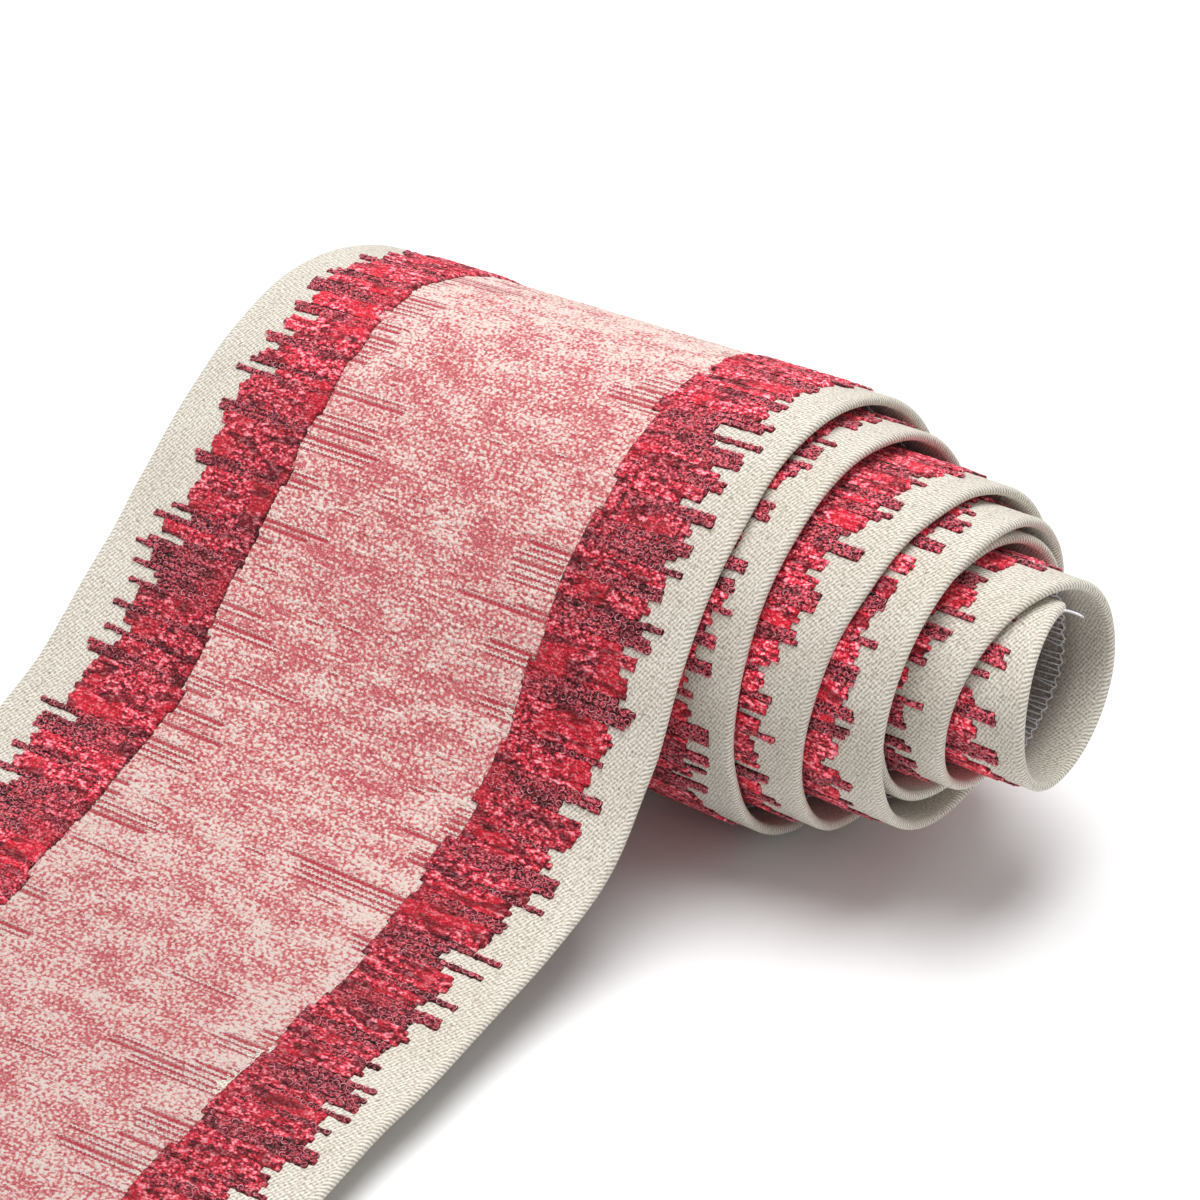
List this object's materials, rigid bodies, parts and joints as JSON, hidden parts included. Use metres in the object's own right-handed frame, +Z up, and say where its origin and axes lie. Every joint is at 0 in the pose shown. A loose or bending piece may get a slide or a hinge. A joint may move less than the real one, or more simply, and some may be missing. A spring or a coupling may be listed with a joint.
{
  "type": "roll of tape trim",
  "caption": "Loosely wound roll of wide woven tape trim, its inner turns pulled out sideways and its loose end laid down in front; stands ready to dress a table, shelf or sewing scene",
  "frame": {"origin": "middle of the small flat spot under the roll, on the surface it lies on", "axes": "Z up; X along the roll toward the side its inner turns are pulled out to; the loose end comes down toward minus Y"},
  "size_m": [0.1474, 0.2206, 0.0713],
  "materials": {
    "tape_cloth": "matt woven tape with raised chenille rows"
  },
  "bodies": {
    "root": {"tape_roll": "tape_cloth"}
  },
  "joints": []
}
